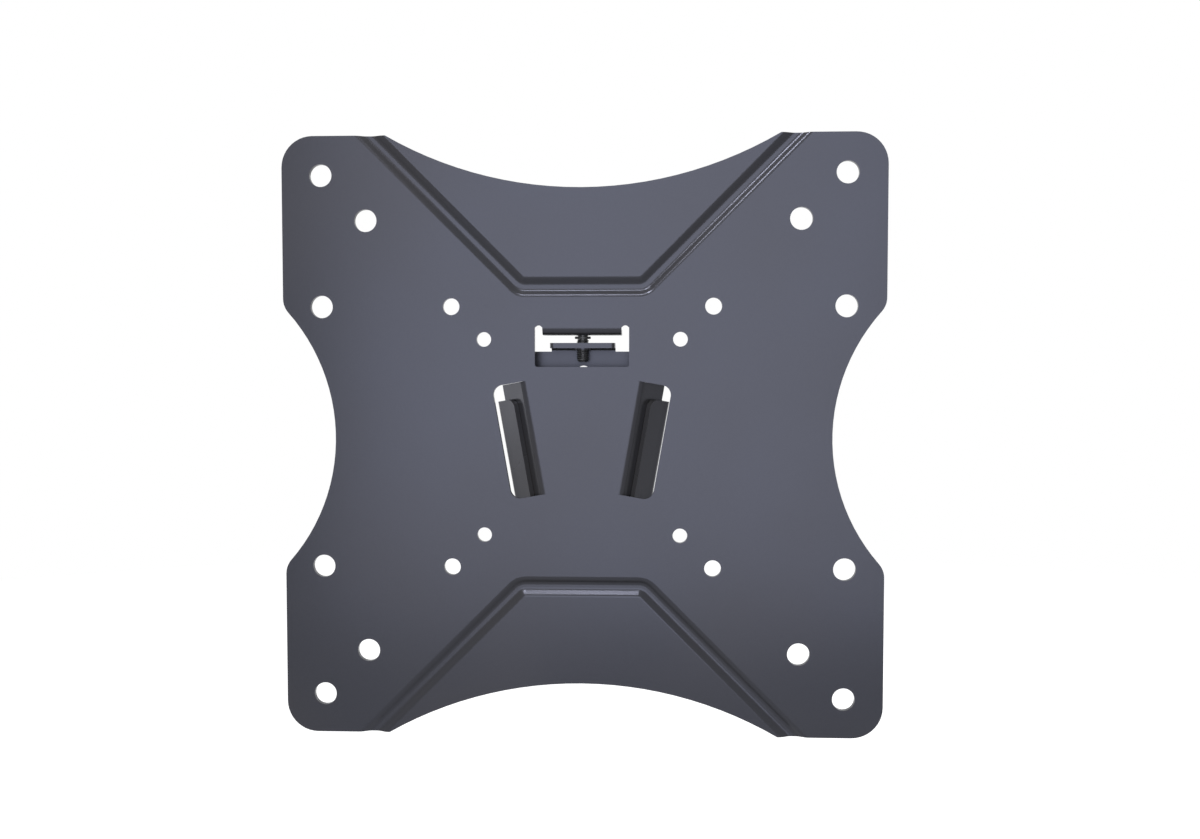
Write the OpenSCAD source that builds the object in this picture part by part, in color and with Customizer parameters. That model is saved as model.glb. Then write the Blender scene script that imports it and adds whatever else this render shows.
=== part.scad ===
// Flat wall mount for a television, made as two folded steel plates.
// The TV plate is bolted to the back of the screen and carries two folded flaps
// that widen upwards. The wall plate carries two hooked flanges that form a
// funnel of the same taper. The TV plate drops into the funnel and a captive
// screw through its tab pulls it down tight into the tongue of the wall plate.
// Millimetres, Z up, wall face at Y = 0, TV face at -Y.
// The origin is the centre of the screw grid, on the wall face.

/* [TV plate] */
// Sheet thickness of both plates
sheet = 2; // [1.8:0.1:2.2]
// Distance from the wall to the TV face
stand_off = 14; // [13.6:0.1:14.6]
// Radius of the outer corners
corner_r = 12; // [8:1:13]
// Depth of the scoops in the four edges
scoop_depth = 20; // [16:1:21]
// Half width of the top and bottom scoops
scoop_half_top = 75; // [72:1:78]
// Half height of the side scoops
scoop_half_side = 50; // [47:1:53]
// Rounding at the ends of the side scoops
scoop_round = 8; // [5:1:9]

/* [Screw grid] */
// Spacing of the wide screw grid
grid_wide = 200; // [196:1:204]
// Distance from the outermost holes to the edges of the TV plate
grid_edge = 15; // [14:0.5:16]
// Spacing of the diagonal screw holes between the wide and the middle grid
grid_diagonal = 165.6; // [162:0.2:168]
// Spacing of the middle screw grid
grid_middle = 100; // [98:1:102]
// Spacing of the small screw grid
grid_small = 75; // [74:0.5:77]
// Diameter of the holes of the wide and diagonal grids
hole_wide_d = 8.6; // [7:0.1:9]
// Diameter of the middle grid holes
hole_middle_d = 6.4; // [5:0.1:7]
// Diameter of the small grid holes
hole_small_d = 5.6; // [4.5:0.1:6]

/* [Stiffening bead] */
// Height of the level run of the bead above the plate centre
bead_level = 57.5; // [57:0.5:60]
// Half length of the level run of the bead
bead_straight = 21.7; // [20:0.1:24]
// Turning radius of the bead centre line
bead_turn_r = 5; // [4.9:0.1:6]
// Width of the flat floor of the bead
bead_floor = 1; // [0.6:0.1:1.2]
// Length of the straight part of the bead flank
bead_flank = 1.3; // [0.8:0.1:1.4]
// Rise over run of the bead flank
bead_slope = 0.75; // [0.7:0.05:0.8]
// Radius between floor and flank on the TV face
bead_root_r = 2; // [1.6:0.1:2.2]
// Radius between flank and plate on the TV face
bead_lip_r = 2.4; // [2.3:0.1:2.6]

/* [Dovetail] */
// Taper of each slot and flap away from upright
taper = 10; // [8:0.5:11]
// Fold angle of the flaps, measured from the plate
flap_angle = 48; // [47:0.5:50]
// Inside radius of every fold
fold_r = 0.9; // [0.8:0.1:1.0]
// Distance from the centre to the flap fold at mid height
slot_inner = 17.4; // [17:0.1:18]
// Width of the slot across the taper
slot_width = 13.2; // [12.8:0.1:13.6]
// Height of the slot end above the centre, along the taper
slot_top = 25.1; // [24:0.1:26]
// Depth of the slot end below the centre, along the taper
slot_bottom = 19; // [18:0.1:20]
// Radius of the outer slot corners
slot_r = 3.8; // [3:0.1:4.5]
// Cut width between a flap end and the slot end
flap_kerf = 0.05; // [0.05:0.05:0.3]
// Length of the flat part of the flap
flap_length = 12.2; // [11.6:0.1:12.4]
// Running gap between flap and flange
wedge_gap = 0.2; // [0.1:0.05:0.3]
// Gap between the flange tip and the TV plate
flange_tip_gap = 0.3; // [0.3:0.1:0.6]
// Top end of the flange above the centre, along the taper
flange_top = 19; // [18:0.1:20]
// Bottom end of the flange below the centre, along the taper
flange_bottom = 27; // [24:0.5:28]
// Corner radius of the flange tip
flange_r = 3.5; // [2:0.1:4]

/* [Window and tab] */
// Half width of the window in the TV plate
window_half = 18; // [17.6:0.1:18.4]
// Height of the window sill above the centre
window_sill = 27; // [26.4:0.1:27.4]
// Radius of the lower window corners
window_r = 1; // [0.5:0.1:2]
// Height of the underside of the tab above the centre
tab_under = 39.2; // [39.1:0.1:39.8]
// Half width of the tab
tab_half = 15.1; // [14.5:0.1:15.4]
// Gap between the end of the tab and the wall
tab_wall_gap = 1.6; // [1.2:0.1:2]
// Radius of the tab corners
tab_r = 2; // [1:0.1:3]
// Top of the relief notches beside the tab
notch_top = 42.8; // [42.7:0.1:44]

/* [Wall plate] */
// Height of the upper shoulders above the centre
base_top = 33; // [32.6:0.1:33]
// Depth of the lower edge below the centre
base_bottom = 33; // [32.4:0.1:34]
// Half width of the upper shoulders
base_half = 24; // [22:0.5:25]
// Radius of the upper shoulders
base_r = 4; // [2:0.5:6]
// Half width of the lower edge
foot_half = 20.5; // [19:0.5:21]
// Distance of the two wall holes above and below the centre
wall_hole_z = 24.7; // [22:0.1:26]
// Diameter of the wall holes
wall_hole_d = 5.6; // [4.5:0.1:6]

/* [Tongue] */
// Underside of the tongue above the centre
tongue_under = 34.2; // [34.1:0.1:34.4]
// Half width of the tongue
tongue_half = 12.5; // [11:0.1:13]
// Gap between the tongue tip and the TV plate
tongue_tip_gap = 1; // [0.8:0.1:1.6]
// Radius of the tongue corners
tongue_r = 1.5; // [1:0.1:2.5]
// Diameter of the raised collar round the threaded hole
collar_d = 6.8; // [6.6:0.1:8]
// Height of the collar under the tongue
collar_h = 0.5; // [0.3:0.1:0.8]

/* [Locking screw] */
// Distance from the wall to the screw axis
screw_off = 7; // [6.8:0.1:7.1]
// Outside diameter of the thread
thread_d = 4.9; // [4.8:0.1:5]
// Gap round the thread in the tongue
thread_gap = 0.05; // [0.05:0.01:0.1]
// Gap round the screw in the tab
tab_hole_gap = 0.3; // [0.2:0.05:0.4]
// Diameter of the head
head_d = 8.2; // [7.6:0.1:8.2]
// Height of the head
head_h = 3.4; // [2.8:0.1:4]
// Radius of the domed rim of the head
head_rim_r = 1; // [0.4:0.1:1.2]
// Width across flats of the hexagon socket
socket_w = 3; // [2.5:0.5:3.5]
// Depth of the socket
socket_depth = 2; // [1.5:0.1:2.2]
// Diameter of the neck that holds the ring
neck_d = 3.8; // [3.6:0.1:4]
// Height of the screw tip above the centre
screw_tip = 29; // [28.5:0.1:30]
// Length of the chamfer at the tip
tip_chamfer = 0.8; // [0.5:0.1:1]

/* [Retaining ring] */
// Outside diameter of the ring
ring_d = 6.2; // [5.8:0.1:7]
// Thickness of the ring
ring_h = 0.9; // [0.7:0.1:1]
// Gap between the ring and the underside of the tab
ring_gap = 0.5; // [0.2:0.1:0.6]
// Play between the ring and the thread
ring_play = 0.3; // [0.1:0.1:0.4]
// Gap between the ring and the neck
ring_neck_gap = 0.05; // [0.05:0.01:0.1]
// Width of the split in the ring
ring_split = 2; // [1:0.1:3]

/* [Hidden] */
$fn = 96;
cut = 1;
lap = 0.4;
hair = 0.01;
seam = 0.05;
plate_size = grid_wide + 2 * grid_edge;
plate_half = plate_size / 2;
plate_back = stand_off - sheet;
fold_out = fold_r + sheet;

scoop_r_top = (scoop_half_top * scoop_half_top + scoop_depth * scoop_depth) / (2 * scoop_depth);
scoop_r_side = (scoop_half_side * scoop_half_side + scoop_depth * scoop_depth) / (2 * scoop_depth);
scoop_mid_top = plate_half - scoop_depth + scoop_r_top;
scoop_mid_side = plate_half - scoop_depth + scoop_r_side;
round_x = plate_half - scoop_round;
round_reach = scoop_r_side + scoop_round;
round_y = sqrt(round_reach * round_reach - (scoop_mid_side - round_x) * (scoop_mid_side - round_x));
round_end_x = round_x + scoop_round * (scoop_mid_side - round_x) / round_reach;
round_end_y = round_y - scoop_round * round_y / round_reach;

bead_angle = atan(bead_slope);
bead_bend = bead_root_r + bead_lip_r;
bead_half = bead_floor / 2 + bead_flank * cos(bead_angle) + bead_bend * sin(bead_angle);
bead_depth = bead_flank * sin(bead_angle) + bead_bend * (1 - cos(bead_angle));
bead_run = plate_half;
bead_overturn = 0.2;
bead_gap_half = bead_half - 0.2;

slot_height = slot_top + slot_bottom;
flap_height = slot_height - 2 * flap_kerf;
flap_pivot = plate_back - fold_r;
flange_face = fold_out + wedge_gap;
flange_pivot = flange_face - fold_r;
flange_fold = (flap_pivot - sheet - fold_r + flange_pivot * cos(flap_angle)) / sin(flap_angle);
flange_tip = ((flange_face + sheet) * cos(flap_angle) - fold_r + flange_tip_gap) / sin(flap_angle);
flange_root = slot_inner + flange_fold * cos(flap_angle) + flange_pivot * sin(flap_angle);
flange_height = flange_top + flange_bottom;
flange_high_x = flange_root * cos(taper) + flange_top * sin(taper);
flange_high_y = flange_top * cos(taper) - flange_root * sin(taper);
flange_low_x = flange_root * cos(taper) - flange_bottom * sin(taper);
flange_low_y = -flange_bottom * cos(taper) - flange_root * sin(taper);

notch_w = window_half - tab_half;
tab_fold = tab_under + fold_out;
tab_top = tab_under + sheet;
tab_length = flap_pivot - tab_wall_gap;
tongue_fold = tongue_under - fold_r;
tongue_top = tongue_under + sheet;
tongue_length = plate_back - tongue_tip_gap - sheet - fold_r;
shoulder_y = flange_high_y + (flange_high_x - base_half) * tan(taper);

thread_r = thread_d / 2;
head_r = head_d / 2;
neck_r = neck_d / 2;
neck_top = tab_under - lap / 4;
ring_z = tab_under - ring_gap - ring_h;
neck_bottom = ring_z - ring_play;

// Turns a plate drawn flat (X right, Y up, Z towards the TV) upright.
module upright() {
    rotate([90, 0, 0]) children();
}

module both_sides() {
    children();
    mirror([1, 0, 0]) children();
}

module both_ends() {
    children();
    mirror([0, 1, 0]) children();
}

module grid(x, y, d) {
    for (sx = [-1, 1], sy = [-1, 1]) translate([sx * x / 2, sy * y / 2]) circle(d = d);
}

// Section of folded sheet that turns clockwise from straight up.
module fold(inner_r, turn, inset = 0) {
    reach = inner_r + sheet + cut;
    intersection() {
        difference() {
            circle(r = inner_r + sheet - inset);
            circle(r = inner_r + inset);
        }
        translate([0, -reach]) square([reach, 2 * reach]);
        rotate(90 - turn) translate([-reach, 0]) square([2 * reach, reach]);
    }
}

// Section of the flat that follows a fold. It starts a seam's width back in the
// fold and sits a hair inside both of its faces, so that no two faces coincide.
module flat(inner_r, turn, length, inset = 0) {
    rotate(-turn) translate([-seam, inner_r + inset + hair])
        square([length + seam, sheet - 2 * (inset + hair)]);
}

// Flat strip rooted on the X axis, with both free corners rounded.
module strip(width, length, r) {
    translate([-width / 2, -lap]) square([width, length - r + lap]);
    translate([r - width / 2, -lap]) square([width - 2 * r, length + lap]);
    both_sides() translate([width / 2 - r, length - r]) circle(r = r);
}

// Material left of the corner where a side scoop meets the plate edge.
module scoop_end() {
    difference() {
        polygon([[round_x, round_y], [plate_half + cut, round_y],
            [plate_half + cut, round_end_y], [round_end_x, round_end_y]]);
        translate([round_x, round_y]) circle(r = scoop_round);
    }
}

module plate_outline() {
    difference() {
        union() {
            square([plate_size - 2 * corner_r, plate_size], center = true);
            square([plate_size, plate_size - 2 * corner_r], center = true);
            grid(plate_size - 2 * corner_r, plate_size - 2 * corner_r, 2 * corner_r);
        }
        both_ends() translate([0, scoop_mid_top]) circle(r = scoop_r_top, $fn = 240);
        both_sides() translate([scoop_mid_side, 0]) circle(r = scoop_r_side, $fn = 240);
        both_sides() both_ends() scoop_end();
    }
}

// Constant-thickness section across the bead, TV face at Y = 0.
// The inset keeps its two faces a hair inside the piece it runs into.
module bead_section(inset) {
    thin = sheet - 2 * inset;
    both_sides() {
        translate([-bead_half - lap, inset - sheet]) square([lap, thin]);
        translate([-bead_half, -bead_lip_r]) {
            fold(bead_lip_r - sheet, bead_angle, inset);
            flat(bead_lip_r - sheet, bead_angle, bead_flank + seam, inset);
        }
        translate([-bead_floor / 2, bead_root_r - bead_depth])
            rotate(180) fold(bead_root_r, bead_angle, inset);
    }
    translate([-bead_floor / 2, inset - bead_depth - sheet]) square([bead_floor, thin]);
}

// One bead: level across the middle, then out to both corners at 45 degrees.
// The turned piece reaches a little way into both straight runs.
module bead() {
    translate([-bead_straight, bead_level, 0])
        rotate([90, 0, 90]) linear_extrude(2 * bead_straight) bead_section(hair);
    both_sides() translate([bead_straight, bead_level + bead_turn_r, 0]) {
        rotate(-90 - bead_overturn) rotate_extrude(angle = 45 + 2 * bead_overturn)
            translate([bead_turn_r, 0]) bead_section(3.5 * hair);
        rotate(-45) translate([bead_turn_r, 0, 0])
            rotate([90, 0, 180]) linear_extrude(bead_run) bead_section(hair);
    }
}

module bead_gap() {
    reach = bead_turn_r + bead_half + cut;
    translate([-bead_straight, bead_level - bead_gap_half]) square([2 * bead_straight, 2 * bead_gap_half]);
    both_sides() translate([bead_straight, bead_level + bead_turn_r]) {
        intersection() {
            difference() {
                circle(r = bead_turn_r + bead_gap_half - seam);
                circle(r = bead_turn_r - bead_gap_half + seam);
            }
            rotate(-90 - bead_overturn) square(reach);
            rotate(-135 + bead_overturn) square(reach);
        }
        rotate(-45) translate([bead_turn_r - bead_gap_half, 0]) square([2 * bead_gap_half, bead_run]);
    }
}

module slot() {
    rotate(-taper) translate([slot_inner, -slot_bottom]) {
        square([slot_width - slot_r, slot_height]);
        translate([0, slot_r]) square([slot_width, slot_height - 2 * slot_r]);
        for (s = [slot_r, slot_height - slot_r]) translate([slot_width - slot_r, s]) circle(r = slot_r);
    }
}

module window() {
    translate([-window_half, window_sill + window_r])
        square([2 * window_half, tab_fold - window_sill - window_r]);
    translate([window_r - window_half, window_sill])
        square([2 * (window_half - window_r), tab_fold - window_sill]);
    both_sides() {
        translate([window_half - window_r, window_sill + window_r]) circle(r = window_r);
        translate([tab_half, window_sill + window_r])
            square([notch_w, notch_top - notch_w / 2 - window_sill - window_r]);
        translate([tab_half + notch_w / 2, notch_top - notch_w / 2]) circle(d = notch_w);
    }
}

// Flat blank before its edges are trimmed, open where the beads run.
module plate_sheet() {
    difference() {
        square(plate_size + 2 * cut, center = true);
        both_ends() bead_gap();
        grid(grid_wide, grid_wide, hole_wide_d);
        grid(grid_wide, grid_middle, hole_wide_d);
        grid(grid_diagonal, grid_diagonal, hole_wide_d);
        grid(grid_middle, grid_middle, hole_middle_d);
        grid(grid_small, grid_small, hole_small_d);
        both_sides() slot();
        window();
    }
}

// Flap folded back and outwards from the inner edge of a slot.
module flap() {
    rotate([0, 0, -taper]) translate([slot_inner, slot_top - flap_kerf, flap_pivot])
        rotate([90, 0, 0]) linear_extrude(flap_height) {
            translate([-lap, fold_r]) square([lap, sheet]);
            fold(fold_r, flap_angle);
            flat(fold_r, flap_angle, flap_length);
        }
}

// Tab folded straight back from the top of the window.
module tab() {
    translate([tab_half, tab_fold, flap_pivot]) rotate([90, 0, -90]) linear_extrude(2 * tab_half) {
        translate([-lap, fold_r]) square([lap, sheet]);
        fold(fold_r, 90);
    }
    translate([0, tab_under, flap_pivot]) rotate([-90, 0, 0])
        linear_extrude(sheet) strip(2 * tab_half, tab_length, tab_r);
}

module tv_plate() {
    color([0.2, 0.21, 0.24]) upright() difference() {
        union() {
            intersection() {
                union() {
                    translate([0, 0, plate_back]) linear_extrude(sheet) plate_sheet();
                    translate([0, 0, stand_off]) both_ends() bead();
                }
                translate([0, 0, plate_back - bead_depth - cut])
                    linear_extrude(sheet + bead_depth + 2 * cut) plate_outline();
            }
            both_sides() flap();
            tab();
        }
        translate([0, tab_under - cut, screw_off]) rotate([-90, 0, 0])
            cylinder(r = thread_r + tab_hole_gap, h = sheet + 2 * cut);
    }
}

module base_outline() {
    difference() {
        both_sides() polygon([[0, -base_bottom], [foot_half, -base_bottom], [flange_low_x, flange_low_y],
            [flange_high_x, flange_high_y], [base_half, shoulder_y], [base_half, base_top], [0, base_top]]);
        both_sides() difference() {
            translate([base_half - base_r, base_top - base_r]) square(base_r + cut);
            translate([base_half - base_r, base_top - base_r]) circle(r = base_r);
        }
        both_ends() translate([0, wall_hole_z]) circle(d = wall_hole_d);
    }
    translate([-tongue_half, tongue_fold - fold_out]) square([2 * tongue_half, fold_out]);
}

// Hooked flange: a tight fold at the foot and a flat flank parallel to the flap.
module flange() {
    rotate([0, 0, -taper]) {
        translate([flange_root, flange_top, sheet + fold_r])
            rotate([90, 0, 0]) linear_extrude(flange_height) {
                translate([-lap, -fold_out]) square([lap, sheet]);
                rotate(-flap_angle) fold(fold_r, 180 - flap_angle);
            }
        translate([slot_inner, (flange_top - flange_bottom) / 2, flap_pivot]) rotate([0, flap_angle, 0])
            translate([flange_fold, 0, flange_face]) rotate(90) linear_extrude(sheet)
                strip(flange_height, flange_fold - flange_tip, flange_r);
    }
}

// Tongue folded towards the TV from the top edge of the wall plate.
module tongue() {
    translate([tongue_half, tongue_fold, sheet + fold_r])
        rotate([-90, 0, 90]) linear_extrude(2 * tongue_half) fold(fold_r, 90);
    translate([0, tongue_top, sheet + fold_r]) rotate([90, 0, 0])
        linear_extrude(sheet) strip(2 * tongue_half, tongue_length, tongue_r);
    translate([0, tongue_under - collar_h, screw_off]) rotate([-90, 0, 0])
        cylinder(d = collar_d, h = collar_h + lap);
}

module wall_plate() {
    color([0.2, 0.21, 0.24]) upright() difference() {
        union() {
            linear_extrude(sheet) base_outline();
            both_sides() flange();
            tongue();
        }
        translate([0, tongue_under - collar_h - cut, screw_off]) rotate([-90, 0, 0])
            cylinder(r = thread_r + thread_gap, h = sheet + collar_h + 2 * cut);
    }
}

module head_section() {
    square([head_r, head_h - head_rim_r]);
    square([head_r - head_rim_r, head_h]);
    translate([head_r - head_rim_r, head_h - head_rim_r]) circle(r = head_rim_r);
}

module locking_screw() {
    color([0.08, 0.08, 0.09]) translate([0, -screw_off, 0]) difference() {
        rotate_extrude() {
            polygon([[0, screw_tip], [thread_r - tip_chamfer, screw_tip], [thread_r, screw_tip + tip_chamfer],
                [thread_r, neck_bottom], [neck_r, neck_bottom], [neck_r, neck_top], [thread_r, neck_top],
                [thread_r, tab_top + lap], [0, tab_top + lap]]);
            translate([0, tab_top]) head_section();
        }
        translate([0, 0, tab_top + head_h - socket_depth]) linear_extrude(socket_depth + cut)
            polygon([for (i = [0:5]) socket_w / 2 / cos(30) * [cos(60 * i), sin(60 * i)]]);
    }
}

module retaining_ring() {
    color([0.12, 0.12, 0.13]) translate([0, -screw_off, ring_z]) difference() {
        cylinder(d = ring_d, h = ring_h);
        translate([0, 0, -cut]) cylinder(r = neck_r + ring_neck_gap, h = ring_h + 2 * cut);
        translate([-ring_split / 2, 0, -cut]) cube([ring_split, ring_d, ring_h + 2 * cut]);
    }
}

tv_plate();
wall_plate();
locking_screw();
retaining_ring();
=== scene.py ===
import math

import bmesh
import bpy
from mathutils import Matrix, Vector


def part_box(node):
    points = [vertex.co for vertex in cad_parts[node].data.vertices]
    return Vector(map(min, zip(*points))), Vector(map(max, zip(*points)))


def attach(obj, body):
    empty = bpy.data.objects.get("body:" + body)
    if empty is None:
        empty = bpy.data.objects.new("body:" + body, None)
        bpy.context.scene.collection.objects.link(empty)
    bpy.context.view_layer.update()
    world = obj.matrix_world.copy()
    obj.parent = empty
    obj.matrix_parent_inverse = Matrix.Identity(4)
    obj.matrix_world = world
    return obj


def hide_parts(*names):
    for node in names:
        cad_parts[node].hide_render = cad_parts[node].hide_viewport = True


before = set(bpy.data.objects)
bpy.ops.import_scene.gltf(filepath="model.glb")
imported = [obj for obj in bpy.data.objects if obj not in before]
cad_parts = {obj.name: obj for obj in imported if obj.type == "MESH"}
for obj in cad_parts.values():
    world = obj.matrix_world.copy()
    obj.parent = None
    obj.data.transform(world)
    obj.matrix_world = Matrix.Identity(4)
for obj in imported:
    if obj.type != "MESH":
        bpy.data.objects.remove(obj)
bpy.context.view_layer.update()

mm = 0.001

# Camera -----------------------------------------------------------------------------
# The photograph looks almost squarely at the TV side of the mount, from a little to the
# right and a little above, with the 200 mm screw grid filling half of the picture.
camera_place = Vector((26.5, -459.1, 27.1)) * mm
camera_target = Vector((6.9, -13.0, 6.92)) * mm
camera_lens = 35.07


def aim(thing, place, target):
    """Puts a camera or a lamp at place, level, looking at target."""
    thing.location = place
    thing.rotation_mode = "QUATERNION"
    thing.rotation_quaternion = (target - place).to_track_quat("-Z", "Y")


camera = bpy.data.objects.new("camera", bpy.data.cameras.new("camera"))
camera.data.lens = camera_lens
camera.data.sensor_width = 36
camera.data.sensor_fit = "HORIZONTAL"
camera.data.clip_start = 0.01
aim(camera, camera_place, camera_target)
bpy.context.collection.objects.link(camera)
bpy.context.scene.camera = camera

# TV plate ---------------------------------------------------------------------------
# The plate that is bolted to the back of the screen: 2 mm cold-rolled steel, blanked,
# stamped with two V-shaped beads, with the dovetail flaps and the tab folded back, then
# powder coated in a near-black slate with a soft, faintly blue sheen.
slate = (0.021, 0.021, 0.023, 1)
slate_warm = (0.023, 0.022, 0.022, 1)
slate_thin = (0.030, 0.030, 0.031, 1)
coat_gloss = 0.32
coat_sheen = (0.74, 0.77, 1.0, 1)
coat_roughness = 0.24
coat_relief = 0.20
peel_per_metre = 520.0
grain_per_metre = 2400.0
thin_edge = 0.35 * mm


def add(tree, kind, place, values=None, **settings):
    """A shader node of that kind at a place in the tree, with its socket values and settings."""
    node = tree.nodes.new("ShaderNode" + kind)
    node.location = place
    for name, value in settings.items():
        setattr(node, name, value)
    for name, value in (values or {}).items():
        node.inputs[name].default_value = value
    return node


def node_group(name, takes, gives):
    """An empty shader node group with named sockets, and its input and output nodes."""
    kinds = {"colour": "NodeSocketColor", "value": "NodeSocketFloat", "normal": "NodeSocketVector"}
    tree = bpy.data.node_groups.new(name, "ShaderNodeTree")
    for label, kind in takes.items():
        tree.interface.new_socket(label, in_out="INPUT", socket_type=kinds[kind])
    for label, kind in gives.items():
        tree.interface.new_socket(label, in_out="OUTPUT", socket_type=kinds[kind])
    return tree, add_ends(tree, "NodeGroupInput", -900), add_ends(tree, "NodeGroupOutput", 900)


def add_ends(tree, kind, across):
    """The group's own input or output node, to the left or right of the rest."""
    node = tree.nodes.new(kind)
    node.location = (across, 0)
    return node


def coat_group():
    """Powder coat: slow drifts in tone, the orange peel of melted powder, and a fine grain."""
    tree, given, made = node_group(
        "powder_coat",
        {"Colour": "colour", "Drift colour": "colour", "Peel per metre": "value",
         "Grain per metre": "value", "Roughness": "value", "Roughness drift": "value"},
        {"Colour": "colour", "Roughness": "value", "Height": "value"})
    link = tree.links.new
    place = add(tree, "TexCoord", (-900, -300))
    drift = add(tree, "TexNoise", (-600, 300), {"Scale": 13.0, "Detail": 2.0, "Roughness": 0.45})
    peel = add(tree, "TexNoise", (-600, 0), {"Detail": 1.0, "Roughness": 0.4})
    grain = add(tree, "TexNoise", (-600, -300), {"Detail": 3.0, "Roughness": 0.6})
    link(given.outputs["Peel per metre"], peel.inputs["Scale"])
    link(given.outputs["Grain per metre"], grain.inputs["Scale"])
    for texture in (drift, peel, grain):
        link(place.outputs["Object"], texture.inputs["Vector"])

    share = add(tree, "MapRange", (-300, 400),
                {"From Min": 0.36, "From Max": 0.64, "To Min": 0.0, "To Max": 1.0})
    link(drift.outputs["Fac"], share.inputs["Value"])
    tone = add(tree, "Mix", (0, 400), data_type="RGBA")
    link(share.outputs["Result"], tone.inputs["Factor"])
    link(given.outputs["Colour"], tone.inputs[6])
    link(given.outputs["Drift colour"], tone.inputs[7])
    fleck = add(tree, "MapRange", (0, 150),
                {"From Min": 0.3, "From Max": 0.7, "To Min": 0.94, "To Max": 1.06})
    link(grain.outputs["Fac"], fleck.inputs["Value"])
    shade = add(tree, "VectorMath", (300, 300), operation="SCALE")
    link(tone.outputs[2], shade.inputs[0])
    link(fleck.outputs["Result"], shade.inputs["Scale"])
    link(shade.outputs["Vector"], made.inputs["Colour"])

    swing = add(tree, "Math", (0, -50), operation="MULTIPLY_ADD")
    centre = add(tree, "Math", (-300, -50), {1: 0.5}, operation="SUBTRACT")
    link(share.outputs["Result"], centre.inputs[0])
    link(centre.outputs["Value"], swing.inputs[0])
    link(given.outputs["Roughness drift"], swing.inputs[1])
    link(given.outputs["Roughness"], swing.inputs[2])
    link(swing.outputs["Value"], made.inputs["Roughness"])

    fine = add(tree, "Math", (0, -350), {1: 0.25}, operation="MULTIPLY")
    link(grain.outputs["Fac"], fine.inputs[0])
    relief = add(tree, "Math", (300, -250), operation="ADD")
    link(peel.outputs["Fac"], relief.inputs[0])
    link(fine.outputs["Value"], relief.inputs[1])
    link(relief.outputs["Value"], made.inputs["Height"])
    return tree


def edge_group():
    """Where the coat is thin on a cut or folded edge: a broken line along each sharp edge."""
    tree, given, made = node_group(
        "edge_wear",
        {"Colour": "colour", "Worn colour": "colour", "Width": "value", "Amount": "value"},
        {"Colour": "colour", "Worn": "value"})
    link = tree.links.new
    rounded = add(tree, "Bevel", (-600, 200), samples=4)
    link(given.outputs["Width"], rounded.inputs["Radius"])
    flat = add(tree, "NewGeometry", (-600, 0))
    match = add(tree, "VectorMath", (-400, 100), operation="DOT_PRODUCT")
    link(rounded.outputs["Normal"], match.inputs[0])
    link(flat.outputs["Normal"], match.inputs[1])
    edge = add(tree, "MapRange", (-200, 100),
               {"From Min": 0.97, "From Max": 0.75, "To Min": 0.0, "To Max": 1.0})
    link(match.outputs["Value"], edge.inputs["Value"])
    place = add(tree, "TexCoord", (-600, -250))
    rub = add(tree, "TexNoise", (-400, -250), {"Scale": 160.0, "Detail": 3.0, "Roughness": 0.6})
    link(place.outputs["Object"], rub.inputs["Vector"])
    patchy = add(tree, "MapRange", (-200, -250),
                 {"From Min": 0.42, "From Max": 0.62, "To Min": 0.25, "To Max": 1.0})
    link(rub.outputs["Fac"], patchy.inputs["Value"])
    worn = add(tree, "Math", (0, 0), operation="MULTIPLY")
    link(edge.outputs["Result"], worn.inputs[0])
    link(patchy.outputs["Result"], worn.inputs[1])
    shown = add(tree, "Math", (200, 0), operation="MULTIPLY")
    link(worn.outputs["Value"], shown.inputs[0])
    link(given.outputs["Amount"], shown.inputs[1])
    link(shown.outputs["Value"], made.inputs["Worn"])
    colour = add(tree, "Mix", (500, 150), data_type="RGBA")
    link(shown.outputs["Value"], colour.inputs["Factor"])
    link(given.outputs["Colour"], colour.inputs[6])
    link(given.outputs["Worn colour"], colour.inputs[7])
    link(colour.outputs[2], made.inputs["Colour"])
    return tree


powder_coat = coat_group()
edge_wear = edge_group()


def coated_steel(name, roughness):
    """Powder-coated sheet steel: the coat over the whole surface, thinner on its edges."""
    material = bpy.data.materials.new(name)
    material.use_nodes = True
    tree = material.node_tree
    link = tree.links.new
    shader = tree.nodes["Principled BSDF"]
    shader.inputs["Specular IOR Level"].default_value = coat_gloss
    shader.inputs["Specular Tint"].default_value = coat_sheen
    coat = add(tree, "Group", (-700, 200), node_tree=powder_coat)
    for label, value in {"Colour": slate, "Drift colour": slate_warm,
                         "Peel per metre": peel_per_metre, "Grain per metre": grain_per_metre,
                         "Roughness": roughness, "Roughness drift": 0.05}.items():
        coat.inputs[label].default_value = value
    edges = add(tree, "Group", (-400, 200), node_tree=edge_wear)
    for label, value in {"Worn colour": slate_thin, "Width": thin_edge, "Amount": 0.6}.items():
        edges.inputs[label].default_value = value
    link(coat.outputs["Colour"], edges.inputs["Colour"])
    link(edges.outputs["Colour"], shader.inputs["Base Color"])
    link(coat.outputs["Roughness"], shader.inputs["Roughness"])
    bump = add(tree, "Bump", (-250, -200), {"Strength": coat_relief, "Distance": 0.03 * mm})
    link(coat.outputs["Height"], bump.inputs["Height"])
    link(bump.outputs["Normal"], shader.inputs["Normal"])
    return material


def dress(piece, material):
    """Puts one finish on a piece, in place of what it had."""
    piece.data.materials.clear()
    piece.data.materials.append(material)


dress(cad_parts["tv_plate"], coated_steel("coated_steel_tv_plate", coat_roughness))

# Wall plate -------------------------------------------------------------------------
# The small plate that is screwed to the wall: the same 2 mm sheet, folded into two hooked
# flanges and a tapped tongue, from the same coating line, a touch more matt.
wall_plate_roughness = 0.26

dress(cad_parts["wall_plate"], coated_steel("coated_steel_wall_plate", wall_plate_roughness))

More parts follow.
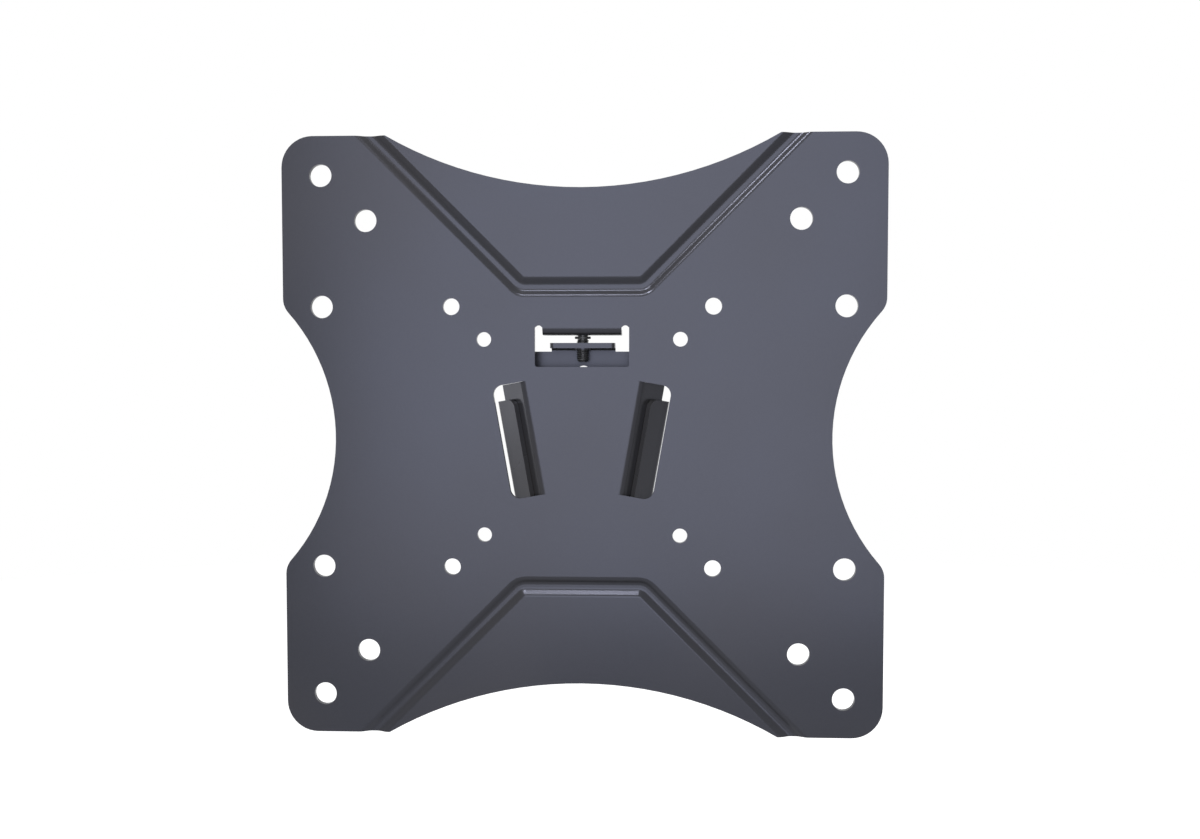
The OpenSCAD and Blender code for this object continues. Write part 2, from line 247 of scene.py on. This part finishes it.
# Locking screw ----------------------------------------------------------------------
# An M5 socket screw in blackened steel, turned and thread-rolled, with a hexagon socket.
# It stands in the tab's hole and runs down through the tapped tongue.
screw_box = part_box("locking_screw")
screw_axis_y = (screw_box[0].y + screw_box[1].y) / 2
screw_tip = screw_box[0].z
head_top = screw_box[1].z
thread_r = 2.45 * mm
pitch = 0.8 * mm
thread_depth = 0.45 * mm
thread_runout = 0.3 * mm
tip_chamfer = 0.8 * mm
neck_bottom = 37.5 * mm
neck_top = 39.1 * mm
neck_r = 1.9 * mm
seat = 41.2 * mm
head_r = 4.1 * mm
head_rim = 0.9 * mm
socket_w = 3.0 * mm
socket_depth = 2.0 * mm
turn_steps = 48
weld = 0.01 * mm
neck_lap = 0.2 * mm
neck_fillet = 0.15 * mm
shank_fillet = 0.1 * mm
rim_under = 0.25 * mm
rim_rise = 0.2 * mm
socket_chamfer = 0.15 * mm
rubbed_edge = 0.12 * mm
screw_black = (0.040, 0.040, 0.043)
screw_worn = (0.13, 0.13, 0.135, 1)
screw_roughness = 0.28
screw_marks_per_metre = 2600.0


def lathe(bm, profile, steps):
    """Turns a profile of (radius, height) points round the Z axis into a closed wall."""
    points = [bm.verts.new((r, 0, z)) for r, z in profile]
    lines = [bm.edges.new(pair) for pair in zip(points, points[1:])]
    bmesh.ops.spin(bm, geom=points + lines, cent=(0, 0, 0), axis=(0, 0, 1), dvec=(0, 0, 0),
                   angle=2 * math.pi, steps=steps, use_merge=True, use_duplicate=False)


def piece_of(bm, name, node, material, place, smooth_angle):
    """Makes the finished mesh a piece that stands for a CAD node and rides on the mount."""
    bmesh.ops.translate(bm, verts=bm.verts, vec=place)
    bmesh.ops.recalc_face_normals(bm, faces=bm.faces)
    mesh = bpy.data.meshes.new(name)
    bm.to_mesh(mesh)
    bm.free()
    mesh.shade_smooth()
    mesh.set_sharp_from_angle(angle=math.radians(smooth_angle))
    piece = bpy.data.objects.new(name, mesh)
    bpy.context.collection.objects.link(piece)
    dress(piece, material)
    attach(piece, "root")
    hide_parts(node)


def blackened_steel(name, colour, worn_colour, roughness, turned):
    """Black-oxide steel: a mottled dark film over fine turning marks, rubbed on the edges."""
    material = bpy.data.materials.new(name)
    material.use_nodes = True
    tree = material.node_tree
    link = tree.links.new
    shader = tree.nodes["Principled BSDF"]
    shader.inputs["Metallic"].default_value = 0.6
    place = add(tree, "TexCoord", (-1100, 0))
    mottle = add(tree, "TexNoise", (-850, 250), {"Scale": 900.0, "Detail": 4.0, "Roughness": 0.6})
    link(place.outputs["Object"], mottle.inputs["Vector"])
    stretch = add(tree, "Mapping", (-1050, -300), {"Scale": (300.0, 300.0, turned)})
    link(place.outputs["Object"], stretch.inputs["Vector"])
    marks = add(tree, "TexNoise", (-850, -300), {"Scale": 1.0, "Detail": 2.0, "Roughness": 0.5})
    link(stretch.outputs["Vector"], marks.inputs["Vector"])
    film = add(tree, "MapRange", (-600, 250),
               {"From Min": 0.3, "From Max": 0.7, "To Min": 0.75, "To Max": 1.3})
    link(mottle.outputs["Fac"], film.inputs["Value"])
    shade = add(tree, "VectorMath", (-400, 300), {0: colour}, operation="SCALE")
    link(film.outputs["Result"], shade.inputs["Scale"])
    edges = add(tree, "Group", (-200, 250), node_tree=edge_wear)
    for label, value in {"Worn colour": worn_colour, "Width": rubbed_edge, "Amount": 0.8}.items():
        edges.inputs[label].default_value = value
    link(shade.outputs["Vector"], edges.inputs["Colour"])
    link(edges.outputs["Colour"], shader.inputs["Base Color"])
    gloss = add(tree, "MapRange", (-400, 0),
                {"From Min": 0.3, "From Max": 0.7,
                 "To Min": roughness - 0.06, "To Max": roughness + 0.08})
    link(mottle.outputs["Fac"], gloss.inputs["Value"])
    link(gloss.outputs["Result"], shader.inputs["Roughness"])
    bump = add(tree, "Bump", (-300, -300), {"Strength": 0.3, "Distance": 0.02 * mm})
    link(marks.outputs["Fac"], bump.inputs["Height"])
    link(bump.outputs["Normal"], shader.inputs["Normal"])
    return material


# The thread is one V ridge swept up a helix. Each turn's upper end is the next one's lower
# end, so merging them gives one wall, which is cut level at the tip and under the neck.
screw = bmesh.new()
ridge = [(thread_r, 0.0), (thread_r, 0.06), (thread_r - thread_depth, 0.45),
         (thread_r - thread_depth, 0.62), (thread_r, 1.0)]
turns = math.ceil((neck_bottom - screw_tip) / pitch) + 2
start = screw_tip - pitch
points = [screw.verts.new((r, 0, start + share * pitch)) for r, share in ridge]
lines = [screw.edges.new(pair) for pair in zip(points, points[1:])]
bmesh.ops.spin(screw, geom=points + lines, cent=(0, 0, 0), axis=(0, 0, 1),
               dvec=(0, 0, pitch / turn_steps), angle=2 * math.pi * turns,
               steps=turn_steps * turns, use_merge=False, use_duplicate=False)
bmesh.ops.remove_doubles(screw, verts=screw.verts, dist=weld)
for height, up in ((screw_tip, -1), (neck_bottom, 1)):
    bmesh.ops.bisect_plane(screw, geom=screw.verts[:] + screw.edges[:] + screw.faces[:],
                           dist=1e-7, plane_co=(0, 0, height), plane_no=(0, 0, up),
                           clear_outer=True)
for point in screw.verts:
    reach = thread_r - tip_chamfer + (point.co.z - screw_tip)
    reach = min(reach, thread_r - thread_runout + (neck_bottom - point.co.z))
    radius = point.co.xy.length
    if radius > reach:
        point.co.xy *= reach / radius
bmesh.ops.holes_fill(screw, edges=[e for e in screw.edges if e.is_boundary], sides=0)

# Neck, plain shank and domed head, turned in one go on top of the thread.
lathe(screw, [(0, neck_bottom - neck_lap), (neck_r, neck_bottom - neck_lap),
              (neck_r, neck_top - neck_fillet), (neck_r + neck_fillet, neck_top),
              (thread_r, neck_top), (thread_r, seat - shank_fillet),
              (head_r - rim_under, seat), (head_r, seat + rim_rise),
              (head_r, head_top - head_rim), (head_r - 0.12 * mm, head_top - 0.45 * mm),
              (head_r - 0.42 * mm, head_top - 0.13 * mm), (head_r - head_rim, head_top),
              (socket_w * 0.66, head_top)], turn_steps)

# Hexagon socket: a ring of six sides bridged to the head's mouth, and sunk to its floor.
rim = [e for e in screw.edges if e.is_boundary and e.verts[0].co.z > head_top - weld]
hexagon = bmesh.ops.create_circle(
    screw, cap_ends=False, radius=socket_w / 2 / math.cos(math.pi / 6), segments=6,
    matrix=Matrix.Translation((0, 0, head_top - socket_chamfer)))
sides = list({e for v in hexagon["verts"] for e in v.link_edges})
bmesh.ops.subdivide_edges(screw, edges=sides, cuts=turn_steps // 6 - 1)
mouth = [e for e in screw.edges if e.is_wire]
bmesh.ops.bridge_loops(screw, edges=rim + mouth)
mouth = [e for e in screw.edges if e.is_boundary and e.verts[0].co.z > head_top - 0.3 * mm]
walls = bmesh.ops.extrude_edge_only(screw, edges=mouth)
floor_verts = [v for v in walls["geom"] if isinstance(v, bmesh.types.BMVert)]
bmesh.ops.translate(screw, verts=floor_verts, vec=(0, 0, socket_chamfer - socket_depth))
floor_edges = [e for e in screw.edges if e.is_boundary and e.verts[0].co.z < head_top - 0.3 * mm
               and e.verts[0].co.z > seat]
bmesh.ops.holes_fill(screw, edges=floor_edges, sides=0)
piece_of(screw, "screw_m5_socket", "locking_screw",
         blackened_steel("blackened_steel_screw", screw_black, screw_worn, screw_roughness,
                         screw_marks_per_metre),
         (0, screw_axis_y, 0), smooth_angle=40)

# Retaining ring ---------------------------------------------------------------------
# A split ring of flat spring steel, coiled, blackened and snapped into the screw's neck,
# so that the screw stays with the tab. Its edges are tumbled round.
ring_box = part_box("retaining_ring")
ring_r = 3.1 * mm
ring_bore = 1.95 * mm
ring_split = 2.0 * mm
ring_edge = 0.15 * mm
ring_steps = 56
ring_black = (0.028, 0.028, 0.03)
ring_worn = (0.10, 0.10, 0.10, 1)
ring_roughness = 0.42
ring_marks_per_metre = 1200.0
half_open = math.asin(ring_split / 2 / ring_r)
ring_under, ring_over = ring_box[0].z, ring_box[1].z

ring = bmesh.new()
corners = [ring.verts.new((r, 0, z)) for r, z in
           ((ring_bore, ring_under), (ring_r, ring_under), (ring_r, ring_over),
            (ring_bore, ring_over))]
first = ring.faces.new(corners)
bmesh.ops.rotate(ring, verts=corners, cent=(0, 0, 0),
                 matrix=Matrix.Rotation(math.pi / 2 + half_open, 3, "Z"))
bmesh.ops.spin(ring, geom=[first], cent=(0, 0, 0), axis=(0, 0, 1), dvec=(0, 0, 0),
               angle=2 * math.pi - 2 * half_open, steps=ring_steps, use_merge=False,
               use_duplicate=False)
bmesh.ops.recalc_face_normals(ring, faces=ring.faces)
sharp = [e for e in ring.edges
         if len(e.link_faces) == 2 and e.calc_face_angle() > math.radians(60)]
bmesh.ops.bevel(ring, geom=sharp, offset=ring_edge, offset_type="OFFSET", affect="EDGES",
                segments=2, profile=0.5, material=-1)
piece_of(ring, "ring_spring_steel", "retaining_ring",
         blackened_steel("blackened_steel_ring", ring_black, ring_worn, ring_roughness,
                         ring_marks_per_metre),
         (0, screw_axis_y, 0), smooth_angle=35)

# Floor and light --------------------------------------------------------------------
# A plain pale floor well below the mount and a white surround. A wide soft lamp behind the
# camera gives the flat faces their sheen, and small ones above draw the lines on the beads.
floor_level = -0.45
floor_radius = 2.5
floor_grey = (0.35, 0.35, 0.35, 1)
floor_glow = 0.97
surround_fill = 0.08


def backdrop_rays(tree, across, down):
    """1 for the rays that show the backdrop: from the camera, off gloss and through glass."""
    rays = add(tree, "LightPath", (across - 500, down))
    seen = add(tree, "Math", (across - 250, down), operation="MAXIMUM")
    shown = add(tree, "Math", (across, down), operation="MAXIMUM")
    tree.links.new(rays.outputs["Is Camera Ray"], seen.inputs[0])
    tree.links.new(rays.outputs["Is Glossy Ray"], seen.inputs[1])
    tree.links.new(seen.outputs["Value"], shown.inputs[0])
    tree.links.new(rays.outputs["Is Transmission Ray"], shown.inputs[1])
    return shown.outputs["Value"]


floor = bmesh.new()
bmesh.ops.create_circle(floor, cap_ends=True, radius=floor_radius, segments=96,
                        matrix=Matrix.Translation((0, 0, floor_level)))
floor_mesh = bpy.data.meshes.new("floor")
floor.to_mesh(floor_mesh)
floor.free()
floor_piece = bpy.data.objects.new("floor", floor_mesh)
bpy.context.collection.objects.link(floor_piece)

floor_paint = bpy.data.materials.new("floor_paint")
floor_paint.use_nodes = True
tree = floor_paint.node_tree
shader = tree.nodes["Principled BSDF"]
shader.inputs["Base Color"].default_value = floor_grey
shader.inputs["Roughness"].default_value = 0.9
shader.inputs["Emission Color"].default_value = (1, 1, 1, 1)
glow = add(tree, "Math", (-100, -200), {1: floor_glow}, operation="MULTIPLY")
tree.links.new(backdrop_rays(tree, -300, -200), glow.inputs[0])
tree.links.new(glow.outputs["Value"], shader.inputs["Emission Strength"])
dress(floor_piece, floor_paint)

world = bpy.data.worlds.new("surround")
world.use_nodes = True
bpy.context.scene.world = world
tree = world.node_tree
surround = tree.nodes["Background"]
surround.inputs["Color"].default_value = (1, 1, 1, 1)
level = add(tree, "MapRange", (-250, 0), {"To Min": surround_fill, "To Max": 1.0})
tree.links.new(backdrop_rays(tree, -450, 0), level.inputs["Value"])
tree.links.new(level.outputs["Result"], surround.inputs["Strength"])

for name, place, width, watts, tint in (
        ("lamp_top", (-0.04, -0.55, 0.80), 0.20, 3.0, (1.0, 1.0, 1.0)),
        ("lamp_top_left", (-0.31, -0.52, 0.72), 0.18, 5.0, (1.0, 1.0, 1.0)),
        ("lamp_left", (-1.20, 0.12, 0.05), 0.60, 2.2, (1.0, 1.0, 1.0)),
        ("lamp_front", (0.02, -1.30, 0.12), 0.95, 13.0, (0.92, 0.95, 1.0)),
        ("lamp_back", (1.05, 1.40, 0.75), 1.00, 18.0, (1.0, 1.0, 1.0))):
    lamp = bpy.data.objects.new(name, bpy.data.lights.new(name, "AREA"))
    lamp.data.shape = "SQUARE"
    lamp.data.size = width
    lamp.data.energy = watts
    lamp.data.color = tint
    aim(lamp, Vector(place), Vector((0, 0, 0)))
    bpy.context.collection.objects.link(lamp)

bpy.context.scene.view_settings.view_transform = "Standard"
